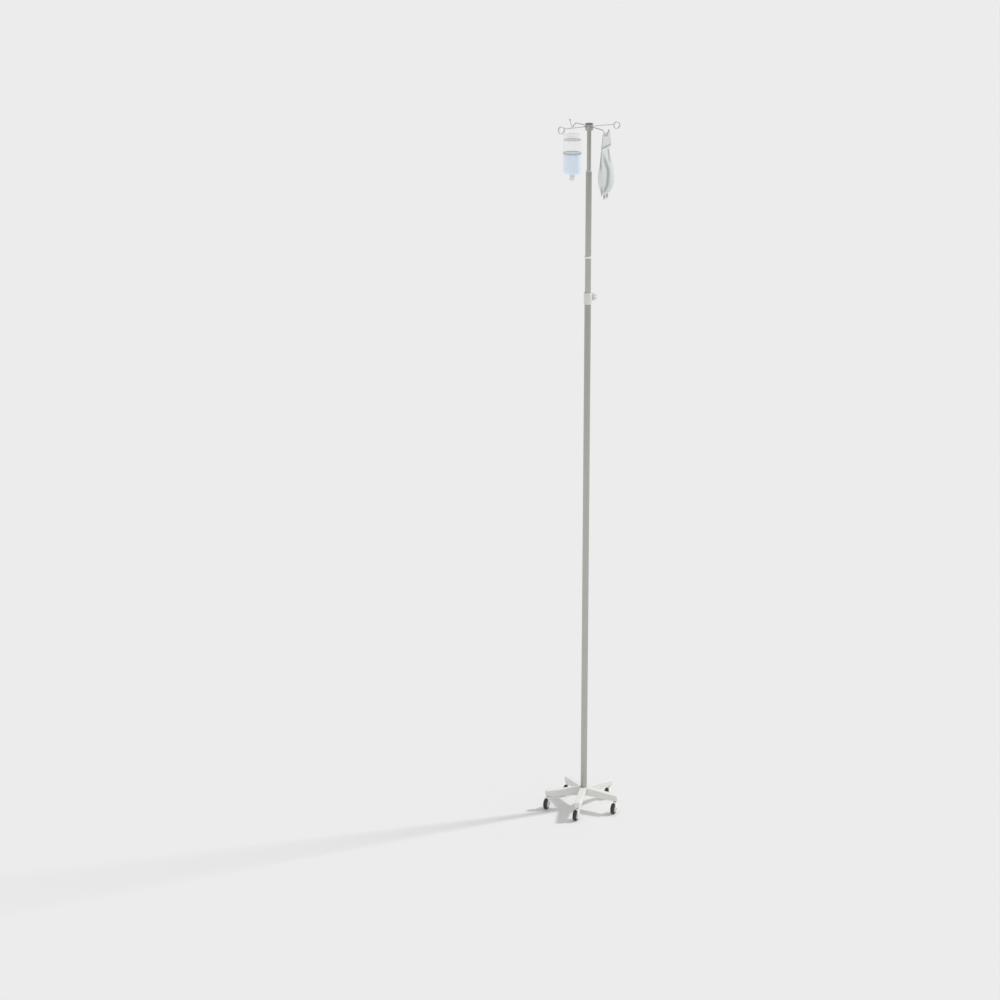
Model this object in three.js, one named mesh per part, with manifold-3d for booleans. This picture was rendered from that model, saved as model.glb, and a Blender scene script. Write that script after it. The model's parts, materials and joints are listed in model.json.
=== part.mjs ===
// Telescopic infusion stand on a five-legged castor base, with a bottle and a soft bag hanging on it.
// Millimetres, +Z up. The origin is on the pole's axis at floor level. The two ring arms lie along X,
// the two hook arms along Y, and the clamp knob points along +X.

import * as THREE from 'three';
import { mergeVertices } from 'three/addons/utils/BufferGeometryUtils.js';
import Module from 'manifold-3d';

const wasm = await Module();
wasm.setup();

// ---- Driving dimensions ----

const clearance = 0.3;
const roundSides = 20;
const smallSides = 10;

// Star base.
const legCount = 5;
const firstLegAngle = 13.5;
const legTipRadius = 123;
const legRootWidth = 22;
const legTipWidth = 16;
const legRootDepth = 25;
const legTipDepth = 18;
const legRootRise = 8;
const legCornerRadius = 3;
const hubRadius = 19;
const hubFloor = 6;
const boltRadius = 3;
const boltHeadRadius = 5.6;
const boltHeadHeight = 4;
const boltReach = 16;
const washerRadius = 9;
const washerThickness = 1.8;
const plugHeight = 26;

// Castors.
const swivelInset = 9;
const swivelTrail = 6.5;
const trailAngle = 221;
const wheelShift = 4;
const tyreRadius = 17;
const wheelSides = 16;
const wheelHeadroom = 1;
const tyreThickness = 5;
const wheelWidth = 12.8;
const tyreInset = 0.4;
const forkWall = 2.8;
const forkCheekRadius = 8.5;
const forkCrownRadius = 7.2;
const forkCrownHeight = 5.5;
const axleRadius = 2;
const axleHeadRadius = 3.6;
const axleHeadHeight = 1.2;
const stemRadius = 4;
const stemSocketDepth = 11;
const stemFlangeRadius = 6.4;
const stemFlangeHeight = 0.8;
const stemPinRadius = 3.2;
const crownFloor = 1.2;

// Lower tube and its clamp.
const lowerTubeOuter = 20;
const lowerTubeWall = 0.6;
const clampHeight = 1645;
const collarHeight = 36;
const collarWall = 2;
const collarEntry = 14;
const collarLip = 4;
const knobHeight = 22;
const knobBossRadius = 5.6;
const knobBossReach = 1.9;
const knobScrewRadius = 3;
const knobLobes = 5;
const knobOuterRadius = 12;
const knobWaistRadius = 9.4;
const knobThickness = 9;
const knobNeckRadius = 6.5;
const knobNeckLength = 2.4;
const knobFace = 1.4;

// Middle tube.
const slideGap = 0.3;
const middleTubeWall = 0.7;
const middleRise = 372;
const middleInsertion = 280;
const stopRingRise = 107;
const stopRingHeight = 6;
const stopRingWall = 2.35;
const guideFlange = 6;
const guidePlug = 18;
const topBushDepth = 25;
const topBushFlange = 1.2;

// Upper tube and the head.
const topBushWall = 1.3;
const upperTubeWall = 1;
const upperRise = 125.5;
const upperInsertion = 155;
const capThickness = 2;
const capPegRadius = 2.8;
const capPegLength = 3.4;
const headWall = 5.2;
const headHeight = 21;
const armDrop = 9;
const armRoot = 3.6;
const socketRoof = 1.6;
const headScrewRadius = 2;
const headScrewDrop = 8;
const headScrewAngle = 45;

// Wire arms.
const wireDiameter = 3;
const wireSides = 8;
const armDroop = 0.6;
const ringReach = 97;
const ringOuter = 23.6;
const ringDrop = 3.5;
const hookStraight = 79;
const hookRun = 21;
const hookDrop = 13.9;
const hookLip = 13;
const hookTipRise = 19;
const hookBendRadius = 4.5;
const hookBallRadius = 3;
const hookSteps = 36;

// Infusion bottle, hung upside down.
const bottleOuter = 56.8;
const bottleWall = 1.2;
const bottleSides = 24;
const bottleRimDrop = 22;
const bottleRecess = 18;
const bottleRimInset = 3;
const bottleRimRound = 8;
const bottleBodyLength = 112;
const bottleShoulder = 14;
const neckOuter = 17;
const neckLength = 10;
const liquidDrop = 60;
const stopperPlug = 8.5;
const portLength = 7.5;
const bailWidth = 13;
const bailThickness = 1.6;
const bailDepth = 2.2;

// Soft infusion bag.
const bagTurn = 39.5;
const bagFilm = 1.6;
const bagHoleRadius = 5.5;
const bagAboveHole = 8;
const bagTopWidth = 62;
const bagFlapWidth = 82;
const bagFullWidth = 98;
const bagBottomWidth = 76;
const bagFlapLength = 41;
const bagLength = 186;
const bagFullDrop = 136;
const bagThickness = 42;
const bagPortSpacing = 24;
const bagPortRadius = 3.4;
const bagPortLength = 9;
const bagCapRadius = 4.4;
const bagCapLength = 6;

// ---- Finishes ----

function finish(color, roughness, metalness = 0) {
  return new THREE.MeshStandardMaterial({ color, roughness, metalness });
}

const whitePaint = finish('#f3f4f1', 0.45);
const whitePlastic = finish('#e6e7e3', 0.5);
const greyPlastic = finish('#c8c9c4', 0.5);
const blackRubber = finish('#3f3f3c', 0.85);
const satinSteel = finish('#a6a5a0', 0.35, 1);
const brightSteel = finish('#c6c6c4', 0.25, 1);
const darkCap = finish('#73716f', 0.5, 0.4);
const clearPlastic = finish('#e4e6e6', 0.1);
const blueLiquid = finish('#cbdae9', 0.1);
const bagPlastic = finish('#c9d1ce', 0.25);
const violetRubber = finish('#9a9dc0', 0.6);

// ---- Geometry helpers ----

// A closed geometry as a solid that can be joined and cut.
function toSolid(geometry) {
  const bare = new THREE.BufferGeometry();
  bare.setAttribute('position', geometry.getAttribute('position').clone());
  if (geometry.index) bare.setIndex(geometry.index.clone());
  const merged = mergeVertices(bare, 1e-4);
  const corners = merged.index.array;
  const kept = [];
  for (let i = 0; i < corners.length; i += 3) {
    const [a, b, c] = [corners[i], corners[i + 1], corners[i + 2]];
    if (a !== b && b !== c && c !== a) kept.push(a, b, c);
  }
  return new wasm.Manifold(new wasm.Mesh({
    numProp: 3,
    vertProperties: new Float32Array(merged.getAttribute('position').array),
    triVerts: new Uint32Array(kept),
  }));
}

function toGeometry(solid) {
  const mesh = solid.getMesh();
  const geometry = new THREE.BufferGeometry();
  geometry.setAttribute('position', new THREE.BufferAttribute(mesh.vertProperties, 3));
  geometry.setIndex(new THREE.BufferAttribute(mesh.triVerts, 1));
  geometry.computeVertexNormals();
  return geometry;
}

function joined(...geometries) {
  return toGeometry(geometries.map(toSolid).reduce((sum, next) => sum.add(next)));
}

function cutBy(geometry, ...cutters) {
  return toGeometry(cutters.map(toSolid).reduce((rest, cutter) => rest.subtract(cutter), toSolid(geometry)));
}

function common(first, second) {
  return toGeometry(toSolid(first).intersect(toSolid(second)));
}

// A piece turned about Z from its half profile of [radius, height] points, which runs upwards on
// the outside. Its facets are turned by half a step, so one of them faces -Y.
function turned(profile, sides = roundSides) {
  const points = profile.map(([radius, height]) => new THREE.Vector2(radius, height));
  return new THREE.LatheGeometry(points, sides, Math.PI / sides).rotateX(Math.PI / 2);
}

function disc(radius, bottom, top, sides = roundSides) {
  return turned([[0, bottom], [radius, bottom], [radius, top], [0, top]], sides);
}

function sleeve(inner, outer, bottom, top, sides = roundSides) {
  return turned([[inner, bottom], [outer, bottom], [outer, top], [inner, top], [inner, bottom]], sides);
}

// An XY outline raised from bottom to top.
function raised(shape, bottom, top, curveSegments = 6) {
  const settings = { depth: top - bottom, bevelEnabled: false, curveSegments };
  return new THREE.ExtrudeGeometry(shape, settings).translate(0, 0, bottom);
}

// An XZ outline given a width along Y, centred on middle.
function widened(shape, width, middle = 0, curveSegments = 6) {
  return raised(shape, -width / 2, width / 2, curveSegments).rotateX(Math.PI / 2).translate(0, middle, 0);
}

function roundWire(path, steps) {
  const section = new THREE.Shape().absarc(0, 0, wireDiameter / 2, 0, 2 * Math.PI);
  return new THREE.ExtrudeGeometry(section, {
    steps,
    extrudePath: path,
    bevelEnabled: false,
    curveSegments: wireSides / 2,
  });
}

function outline(points) {
  return new THREE.Shape(points.map(([x, y]) => new THREE.Vector2(x, y)));
}

// A closed skin over a stack of rings that all have the same number of points.
function lofted(rings) {
  const count = rings[0].length;
  const positions = rings.flat().flatMap((point) => [point.x, point.y, point.z]);
  const faces = [];
  for (let row = 0; row + 1 < rings.length; row += 1) {
    for (let i = 0; i < count; i += 1) {
      const next = (i + 1) % count;
      const [a, b] = [row * count + i, row * count + next];
      const [c, d] = [a + count, b + count];
      faces.push(a, b, d, a, d, c);
    }
  }
  const last = (rings.length - 1) * count;
  for (let i = 1; i + 1 < count; i += 1) {
    faces.push(0, i + 1, i);
    faces.push(last, last + i, last + i + 1);
  }
  const geometry = new THREE.BufferGeometry();
  geometry.setAttribute('position', new THREE.Float32BufferAttribute(positions, 3));
  geometry.setIndex(faces);
  geometry.computeVertexNormals();
  return geometry;
}

const degrees = THREE.MathUtils.degToRad;

function addPiece(group, name, geometry, material) {
  const piece = new THREE.Mesh(geometry, material);
  piece.name = name;
  group.add(piece);
  return piece;
}

// A group turned about Z, standing at a distance from the pole's axis.
function addStation(group, angle, reach = 0, height = 0) {
  const station = new THREE.Group();
  station.position.set(reach * Math.cos(degrees(angle)), reach * Math.sin(degrees(angle)), height);
  station.rotation.z = degrees(angle);
  group.add(station);
  return station;
}

const stand = new THREE.Group();

// ---- Levels and radii that follow from the driving dimensions ----

// The axle height puts a flat facet of the tyre on the floor.
const axleHeight = tyreRadius * Math.cos(Math.PI / wheelSides);
const crownBottom = axleHeight + tyreRadius + wheelHeadroom;
const crownTop = crownBottom + forkCrownHeight;
const stemFlangeBottom = crownTop + clearance;
const stemFlangeTop = stemFlangeBottom + stemFlangeHeight;
const legTipBottom = stemFlangeTop + clearance;
const legTipTop = legTipBottom + legTipDepth;
const baseTop = legTipTop + legRootRise;
const hubBottom = baseTop - legRootDepth;
const swivelRadius = legTipRadius - swivelInset;

const collarTop = clampHeight + collarHeight;
const middleTubeTop = collarTop + middleRise;
const middleTubeBottom = collarTop - middleInsertion;
const headBottom = middleTubeTop + upperRise;
const upperTubeBottom = middleTubeTop - upperInsertion;
const standHeight = headBottom + headHeight;
const armHeight = standHeight - armDrop;

const lowerRadius = lowerTubeOuter / 2;
const lowerTubeInner = lowerRadius - lowerTubeWall;
const middleRadius = lowerTubeInner - slideGap;
const middleTubeInner = middleRadius - middleTubeWall;
const upperRadius = middleTubeInner - topBushWall - 2 * clearance;
const upperTubeInner = upperRadius - upperTubeWall;

// ---- Star base: five tapered legs on a hub that holds the pole ----

const socketFloor = hubBottom + hubFloor;

function legBlank() {
  const half = [legRootWidth / 2, legTipWidth / 2];
  const plan = new THREE.Shape();
  plan.moveTo(0, -half[0]);
  plan.lineTo(legTipRadius - legCornerRadius, -half[1]);
  plan.quadraticCurveTo(legTipRadius, -half[1], legTipRadius, -half[1] + legCornerRadius);
  plan.lineTo(legTipRadius, half[1] - legCornerRadius);
  plan.quadraticCurveTo(legTipRadius, half[1], legTipRadius - legCornerRadius, half[1]);
  plan.lineTo(0, half[0]);
  const levelFrom = swivelRadius - stemFlangeRadius - 4 * clearance;
  const side = outline([
    [-1, hubBottom], [hubRadius, hubBottom], [levelFrom, legTipBottom],
    [legTipRadius + 1, legTipBottom], [legTipRadius + 1, legTipTop], [hubRadius, baseTop], [-1, baseTop],
  ]);
  return common(raised(plan, hubBottom - 1, baseTop + 1, 3), widened(side, legRootWidth + 2));
}

function starBase() {
  const blanks = [disc(hubRadius, hubBottom, baseTop, 2 * smallSides)];
  const cutters = [
    disc(lowerRadius + clearance, socketFloor, baseTop + 1),
    disc(boltRadius + clearance, hubBottom - 1, socketFloor + 1, smallSides),
  ];
  for (let leg = 0; leg < legCount; leg += 1) {
    const angle = degrees(firstLegAngle + (leg * 360) / legCount);
    blanks.push(legBlank().rotateZ(angle));
    const socket = disc(stemRadius + clearance, legTipBottom - 1, legTipBottom + stemSocketDepth, smallSides);
    cutters.push(socket.translate(swivelRadius, 0, 0).rotateZ(angle));
  }
  return cutBy(joined(...blanks), ...cutters);
}

const lowerTubeBottom = socketFloor + clearance;
const plugBottom = lowerTubeBottom + clearance;
const boltTop = plugBottom + boltReach;
const washerTop = hubBottom - clearance;
const boltHeadTop = washerTop - washerThickness - clearance;

addPiece(stand, 'star_base', starBase(), whitePaint);
addPiece(stand, 'base_washer', sleeve(boltRadius + clearance, washerRadius, washerTop - washerThickness,
  washerTop, smallSides), brightSteel);
addPiece(stand, 'base_bolt', joined(
  disc(boltHeadRadius, boltHeadTop - boltHeadHeight, boltHeadTop, 6),
  disc(boltRadius, boltHeadTop - 1, boltTop, smallSides),
), brightSteel);
addPiece(stand, 'lower_plug', turned([
  [0, boltTop + 1], [boltRadius + clearance, boltTop + 1], [boltRadius + clearance, plugBottom],
  [lowerTubeInner - clearance, plugBottom], [lowerTubeInner - clearance, plugBottom + plugHeight],
  [0, plugBottom + plugHeight],
]), satinSteel);

// ---- Castors: each wheel hangs beside a single arm and is set off the stem's axis ----

const stemPinBottom = crownBottom + crownFloor;
const forkInner = wheelWidth / 2 + clearance;
const forkOuter = forkInner + forkWall;
const wheelRimRadius = tyreRadius - tyreThickness;

function castorStem() {
  return turned([
    [0, stemPinBottom + clearance], [stemPinRadius, stemPinBottom + clearance],
    [stemPinRadius, stemFlangeBottom], [stemFlangeRadius, stemFlangeBottom],
    [stemFlangeRadius, stemFlangeTop], [stemRadius, stemFlangeTop],
    [stemRadius, stemFlangeTop + stemSocketDepth], [0, stemFlangeTop + stemSocketDepth],
  ], smallSides);
}

function castorFork() {
  const crownEnd = swivelTrail + forkCheekRadius / 2;
  const crown = new THREE.Shape();
  crown.moveTo(crownEnd, forkOuter - wheelShift);
  crown.absarc(0, 0, forkCrownRadius, Math.PI / 2, 1.5 * Math.PI);
  crown.lineTo(crownEnd, 0);
  const cheek = new THREE.Shape();
  cheek.moveTo(swivelTrail - forkCheekRadius, axleHeight);
  cheek.absarc(swivelTrail, axleHeight, forkCheekRadius, Math.PI, 2 * Math.PI);
  cheek.lineTo(crownEnd, crownTop - 1);
  cheek.lineTo(-forkCheekRadius / 2, crownTop - 1);
  const blank = joined(
    raised(crown, crownBottom, crownTop, 5),
    widened(cheek, forkWall, forkInner + forkWall / 2 - wheelShift, 5),
  );
  const pinHole = disc(stemPinRadius + clearance, stemPinBottom, crownTop + 1, smallSides);
  const axleHole = onAxle(disc(axleRadius + clearance, -2 * forkOuter, 0, smallSides));
  return cutBy(blank, pinHole, axleHole);
}

// Pieces that lie on the wheel's axis are turned about Z and then laid along Y, bottom to the arm.
function onAxle(geometry) {
  return geometry.rotateX(Math.PI / 2).translate(swivelTrail, -wheelShift, axleHeight);
}

function castorAxle() {
  const [armEnd, freeEnd] = [-forkOuter - clearance, wheelWidth / 2 + clearance];
  return onAxle(turned([
    [0, armEnd - axleHeadHeight], [axleHeadRadius, armEnd - axleHeadHeight], [axleHeadRadius, armEnd],
    [axleRadius, armEnd], [axleRadius, freeEnd], [axleHeadRadius, freeEnd],
    [axleHeadRadius, freeEnd + axleHeadHeight], [0, freeEnd + axleHeadHeight],
  ], smallSides));
}

function castorHub() {
  const [bore, boss, rim] = [axleRadius + clearance, axleRadius + 3, wheelRimRadius - clearance];
  const [face, dish] = [wheelWidth / 2, wheelWidth / 2 - 1.8];
  return onAxle(turned([
    [bore, -face], [boss, -face], [boss, -dish], [rim, -face + 0.6], [rim, face - 0.6],
    [boss, dish], [boss, face], [bore, face], [bore, -face],
  ], wheelSides));
}

function castorTyre() {
  const [half, edge] = [wheelWidth / 2 - tyreInset, 1.6];
  return onAxle(turned([
    [wheelRimRadius, -half], [tyreRadius - edge, -half], [tyreRadius, -half + edge],
    [tyreRadius, half - edge], [tyreRadius - edge, half], [wheelRimRadius, half],
    [wheelRimRadius, -half],
  ], wheelSides));
}

for (let leg = 0; leg < legCount; leg += 1) {
  const angle = firstLegAngle + (leg * 360) / legCount;
  const label = `castor_${leg + 1}`;
  const station = addStation(stand, angle, swivelRadius);
  station.rotation.z = degrees(trailAngle);
  addPiece(station, `${label}_stem`, castorStem(), brightSteel);
  addPiece(station, `${label}_fork`, castorFork(), whitePlastic);
  addPiece(station, `${label}_axle`, castorAxle(), brightSteel);
  addPiece(station, `${label}_wheel`, castorHub(), whitePlastic);
  addPiece(station, `${label}_tyre`, castorTyre(), blackRubber);
}

// ---- Lower tube, clamp collar and knob ----

const lowerTubeTop = clampHeight + collarEntry;
const collarRadius = lowerRadius + clearance + collarWall;
const bushTop = collarTop - collarLip - clearance;
const knobAxisHeight = clampHeight + knobHeight;
const bossEnd = collarRadius + knobBossReach;
const knobStart = bossEnd + clearance;
const knobEnd = knobStart + knobNeckLength + knobThickness;

// Pieces on the knob's axis are turned about Z and then laid along +X.
function onKnobAxis(geometry) {
  return geometry.rotateY(Math.PI / 2).translate(0, 0, knobAxisHeight);
}

function clampCollar() {
  const bore = lowerRadius + clearance;
  const [radius, round] = [collarRadius, 1.5];
  const body = turned([
    [bore, clampHeight], [radius - round, clampHeight], [radius, clampHeight + round],
    [radius, collarTop - round], [radius - round, collarTop], [middleRadius + clearance, collarTop],
    [middleRadius + clearance, collarTop - collarLip], [bore, collarTop - collarLip],
    [bore, clampHeight],
  ]);
  const boss = onKnobAxis(disc(knobBossRadius, bore + 1, bossEnd, 2 * smallSides));
  const hole = onKnobAxis(disc(knobScrewRadius + clearance, 0, bossEnd + 1, smallSides));
  return cutBy(joined(body, boss), hole);
}

function clampKnob() {
  const star = new THREE.Shape();
  const steps = 8 * knobLobes;
  const middle = (knobOuterRadius + knobWaistRadius) / 2;
  const swing = (knobOuterRadius - knobWaistRadius) / 2;
  for (let step = 0; step < steps; step += 1) {
    const angle = (step / steps) * 2 * Math.PI;
    const radius = middle + swing * Math.cos(knobLobes * angle);
    if (step === 0) star.moveTo(radius, 0);
    else star.lineTo(radius * Math.cos(angle), radius * Math.sin(angle));
  }
  const blank = joined(
    disc(knobNeckRadius, knobStart, knobStart + knobNeckLength + 1, 2 * smallSides),
    raised(star, knobStart + knobNeckLength, knobEnd),
  );
  const bore = disc(knobScrewRadius + clearance, knobStart - 1, knobEnd - knobFace, smallSides);
  return onKnobAxis(cutBy(blank, bore));
}

addPiece(stand, 'lower_tube', sleeve(lowerTubeInner, lowerRadius, lowerTubeBottom, lowerTubeTop),
  satinSteel);
addPiece(stand, 'clamp_collar', clampCollar(), greyPlastic);
addPiece(stand, 'collar_bush', sleeve(middleRadius + clearance, lowerRadius,
  lowerTubeTop + clearance, bushTop), whitePlastic);
addPiece(stand, 'clamp_screw', onKnobAxis(disc(knobScrewRadius, lowerRadius + clearance,
  knobEnd - knobFace - clearance, smallSides)), brightSteel);
addPiece(stand, 'clamp_knob', clampKnob(), greyPlastic);

// ---- Middle tube ----

const stopRingBottom = collarTop + stopRingRise;
const middleFlangeTop = middleTubeBottom - clearance;

addPiece(stand, 'middle_tube', sleeve(middleTubeInner, middleRadius, middleTubeBottom, middleTubeTop),
  satinSteel);
addPiece(stand, 'middle_guide', turned([
  [0, middleFlangeTop - guideFlange], [lowerTubeInner - clearance, middleFlangeTop - guideFlange],
  [lowerTubeInner - clearance, middleFlangeTop], [middleTubeInner - clearance, middleFlangeTop],
  [middleTubeInner - clearance, middleTubeBottom + guidePlug], [0, middleTubeBottom + guidePlug],
]), greyPlastic);
addPiece(stand, 'stop_ring', sleeve(middleRadius + clearance,
  middleRadius + clearance + stopRingWall, stopRingBottom, stopRingBottom + stopRingHeight), whitePlastic);

const topFlangeBottom = middleTubeTop + clearance;

addPiece(stand, 'middle_top_bush', turned([
  [upperRadius + clearance, middleTubeTop - topBushDepth],
  [middleTubeInner - clearance, middleTubeTop - topBushDepth],
  [middleTubeInner - clearance, topFlangeBottom], [middleRadius, topFlangeBottom],
  [middleRadius, topFlangeBottom + topBushFlange],
  [upperRadius + clearance, topFlangeBottom + topBushFlange],
  [upperRadius + clearance, middleTubeTop - topBushDepth],
]), greyPlastic);

// ---- Upper tube and head ----

const upperFlangeTop = upperTubeBottom - clearance;
const headRadius = upperRadius + clearance + headWall;
const headTop = standHeight - capThickness - clearance;
const armRadius = wireDiameter / 2;
const headSocketTop = armHeight - armRadius - clearance - socketRoof;
const upperTubeTop = headSocketTop - clearance;
const headScrewHeight = armHeight - headScrewDrop;

// Arm pieces are made along +X from the head's centre, then droop and turn to their side.
function onArm(geometry, angle) {
  return geometry.rotateY(degrees(armDroop)).rotateZ(degrees(angle)).translate(0, 0, armHeight);
}

function hookHead() {
  const radius = headRadius;
  const blank = turned([
    [0, headBottom], [radius - 1, headBottom], [radius, headBottom + 1], [radius, headTop], [0, headTop],
  ]);
  const cutters = [
    disc(upperRadius + clearance, headBottom - 1, headSocketTop),
    disc(capPegRadius + clearance, headTop - capPegLength - clearance, headTop + 1, smallSides),
    disc(headScrewRadius + clearance, 0, radius + 1, smallSides).rotateY(Math.PI / 2)
      .rotateZ(degrees(headScrewAngle)).translate(0, 0, headScrewHeight),
  ];
  for (const angle of [0, 90, 180, 270]) {
    const hole = disc(armRadius + clearance, armRoot - clearance, radius + 1, wireSides);
    cutters.push(onArm(hole.rotateY(Math.PI / 2), angle));
  }
  return cutBy(blank, ...cutters);
}

addPiece(stand, 'upper_tube', sleeve(upperTubeInner, upperRadius, upperTubeBottom, upperTubeTop),
  satinSteel);
addPiece(stand, 'upper_guide', turned([
  [0, upperFlangeTop - guideFlange], [middleTubeInner - clearance, upperFlangeTop - guideFlange],
  [middleTubeInner - clearance, upperFlangeTop], [upperTubeInner - clearance, upperFlangeTop],
  [upperTubeInner - clearance, upperTubeBottom + guidePlug], [0, upperTubeBottom + guidePlug],
]), greyPlastic);
addPiece(stand, 'hook_head', hookHead(), satinSteel);
addPiece(stand, 'head_cap', turned([
  [0, headTop - capPegLength], [capPegRadius, headTop - capPegLength],
  [capPegRadius, headTop + clearance], [headRadius, headTop + clearance],
  [headRadius, standHeight - 0.6], [headRadius - 0.6, standHeight], [0, standHeight],
]), darkCap);
addPiece(stand, 'head_screw', disc(headScrewRadius, upperRadius + clearance, headRadius - 0.4,
  smallSides).rotateY(Math.PI / 2).rotateZ(degrees(headScrewAngle)).translate(0, 0, headScrewHeight),
brightSteel);

// ---- Wire arms ----

function ringArm(angle) {
  const ringRadius = (ringOuter - wireDiameter) / 2;
  const ring = new THREE.TorusGeometry(ringRadius, armRadius, wireSides, roundSides)
    .rotateX(Math.PI / 2).translate(ringReach, 0, -ringDrop);
  const meet = ringReach - Math.sqrt(ringRadius ** 2 - ringDrop ** 2);
  const rod = disc(armRadius, armRoot, meet, wireSides).rotateY(Math.PI / 2);
  return onArm(joined(rod, ring), angle);
}

function hookTip() {
  return new THREE.Vector3(hookStraight + hookRun + hookLip, 0, hookTipRise - hookDrop);
}

// The wire runs straight out, dips in a V with a round bottom, and rises to its ball tip.
function hookPath() {
  const bottom = new THREE.Vector3(hookStraight + hookRun, 0, -hookDrop);
  const knee = new THREE.Vector3(hookStraight, 0, 0);
  const tip = hookTip();
  const path = new THREE.CurvePath();
  const kneeIn = new THREE.Vector3(hookStraight - hookBendRadius, 0, 0);
  const down = bottom.clone().sub(knee).normalize();
  const up = tip.clone().sub(bottom).normalize();
  const kneeOut = knee.clone().addScaledVector(down, hookBendRadius);
  const low = bottom.clone().add(new THREE.Vector3(0, 0, -hookBendRadius / 2));
  const lowIn = low.clone().addScaledVector(down, -hookBendRadius);
  const lowOut = low.clone().addScaledVector(up, hookBendRadius);
  path.add(new THREE.LineCurve3(new THREE.Vector3(armRoot, 0, 0), kneeIn));
  path.add(new THREE.QuadraticBezierCurve3(kneeIn, knee, kneeOut));
  path.add(new THREE.LineCurve3(kneeOut, lowIn));
  path.add(new THREE.QuadraticBezierCurve3(lowIn, low, lowOut));
  path.add(new THREE.LineCurve3(lowOut, tip));
  return path;
}

function hookArm(angle) {
  const path = hookPath();
  const wire = roundWire(path, hookSteps);
  const tip = hookTip();
  const ball = new THREE.SphereGeometry(hookBallRadius, smallSides, 6).translate(tip.x, 0, tip.z);
  return onArm(joined(wire, ball), angle);
}

addPiece(stand, 'ring_arm_right', ringArm(0), brightSteel);
addPiece(stand, 'ring_arm_left', ringArm(180), brightSteel);
addPiece(stand, 'hook_arm_back', hookArm(90), brightSteel);
addPiece(stand, 'hook_arm_front', hookArm(270), brightSteel);

// The wire's centre line as it hangs with the arm's droop, from the head's centre.
const hangingWire = hookPath().getSpacedPoints(400).map((point) => (
  point.applyAxisAngle(new THREE.Vector3(0, 1, 0), degrees(armDroop))));
const seat = hangingWire.reduce((low, point) => (point.z < low.z ? point : low));
const seatRadius = seat.x;
const seatTop = armHeight + seat.z + armRadius + clearance;

// How far the wire has climbed within a reach of its lowest point, to either side.
function wireClimb(reach) {
  const near = hangingWire.filter((point) => Math.abs(point.x - seatRadius) < reach);
  return Math.max(...near.map((point) => point.z)) - seat.z;
}

// ---- Infusion bottle: its base is up, with a bail in the recess ----

const bottleRadius = bottleOuter / 2;
const rimTop = armHeight + seat.z - bottleRimDrop;
const recessFloor = rimTop - bottleRecess;
const bodyBottom = rimTop - bottleBodyLength;
const neckTop = bodyBottom - bottleShoulder;
const neckBottom = neckTop - neckLength;
const neckRadius = neckOuter / 2;
const liquidTop = rimTop - liquidDrop;

// A quarter of an ellipse between two [radius, height] points, leaving the first one upright.
function shoulder(from, to, steps = 4) {
  const points = [];
  for (let step = 0; step <= steps; step += 1) {
    const angle = (step / steps) * (Math.PI / 2);
    points.push([
      to[0] + (from[0] - to[0]) * Math.cos(angle), from[1] + (to[1] - from[1]) * Math.sin(angle),
    ]);
  }
  return points;
}

const bottleRimRadius = bottleRadius - bottleRimInset;
const innerShoulder = shoulder([bottleRadius - bottleWall, bodyBottom],
  [neckRadius - bottleWall, neckTop + bottleWall]);

function bottleShell() {
  const wall = bottleWall;
  const innerWall = bottleRadius - wall;
  return joined(turned([
    [neckRadius - wall, neckBottom], [neckRadius, neckBottom],
    ...shoulder([bottleRadius, bodyBottom], [neckRadius, neckTop]).reverse(),
    ...shoulder([bottleRadius, rimTop - bottleRimRound], [bottleRimRadius, rimTop]),
    [bottleRimRadius - wall, rimTop], [bottleRimRadius - wall, recessFloor + wall], [0, recessFloor + wall],
    [0, recessFloor], [innerWall, recessFloor], ...innerShoulder,
    [neckRadius - wall, neckBottom],
  ], bottleSides));
}

function bottleLiquid() {
  const gap = clearance;
  const stopperTop = neckBottom + stopperPlug;
  return turned([
    [0, stopperTop + gap], [neckRadius - bottleWall - gap, stopperTop + gap],
    ...innerShoulder.map(([radius, height]) => [radius - gap, height + gap]).reverse(),
    [bottleRadius - bottleWall - gap, liquidTop], [0, liquidTop],
  ], bottleSides);
}

function bottleBail() {
  const [half, inner] = [bailWidth / 2, bailWidth / 2 - bailThickness];
  const archBase = seatTop + wireClimb(bailDepth / 2 + armRadius) - inner;
  const foot = recessFloor + bottleWall + clearance;
  const bail = new THREE.Shape();
  bail.moveTo(-half, foot);
  bail.lineTo(half, foot);
  bail.lineTo(half, archBase);
  bail.absarc(0, archBase, half, 0, Math.PI);
  const window = new THREE.Path();
  window.moveTo(-inner, foot + bailThickness);
  window.lineTo(-inner, archBase);
  window.absarc(0, archBase, inner, Math.PI, 0, true);
  window.lineTo(inner, foot + bailThickness);
  bail.holes.push(window);
  return widened(bail, bailDepth);
}

const bottle = addStation(stand, 90, seatRadius);
bottle.rotation.z = 0;
const stopperRadius = neckRadius - bottleWall - clearance;
const stopperFlangeTop = neckBottom - clearance;

addPiece(bottle, 'bottle_shell', bottleShell(), clearPlastic);
addPiece(bottle, 'bottle_liquid', bottleLiquid(), blueLiquid);
addPiece(bottle, 'bottle_bail', bottleBail(), clearPlastic);
addPiece(bottle, 'bottle_stopper', turned([
  [0, stopperFlangeTop - 2], [neckRadius, stopperFlangeTop - 2], [neckRadius, stopperFlangeTop],
  [stopperRadius, stopperFlangeTop], [stopperRadius, neckBottom + stopperPlug],
  [0, neckBottom + stopperPlug],
]), violetRubber);
addPiece(bottle, 'bottle_port', turned([
  [0, stopperFlangeTop - 2 - clearance - portLength],
  [neckRadius / 2, stopperFlangeTop - 2 - clearance - portLength],
  [neckRadius * 0.6, stopperFlangeTop - 2 - clearance - portLength * 0.4],
  [neckRadius, stopperFlangeTop - 2 - clearance - portLength * 0.4],
  [neckRadius, stopperFlangeTop - 2 - clearance], [0, stopperFlangeTop - 2 - clearance],
], 2 * smallSides), clearPlastic);

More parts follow.
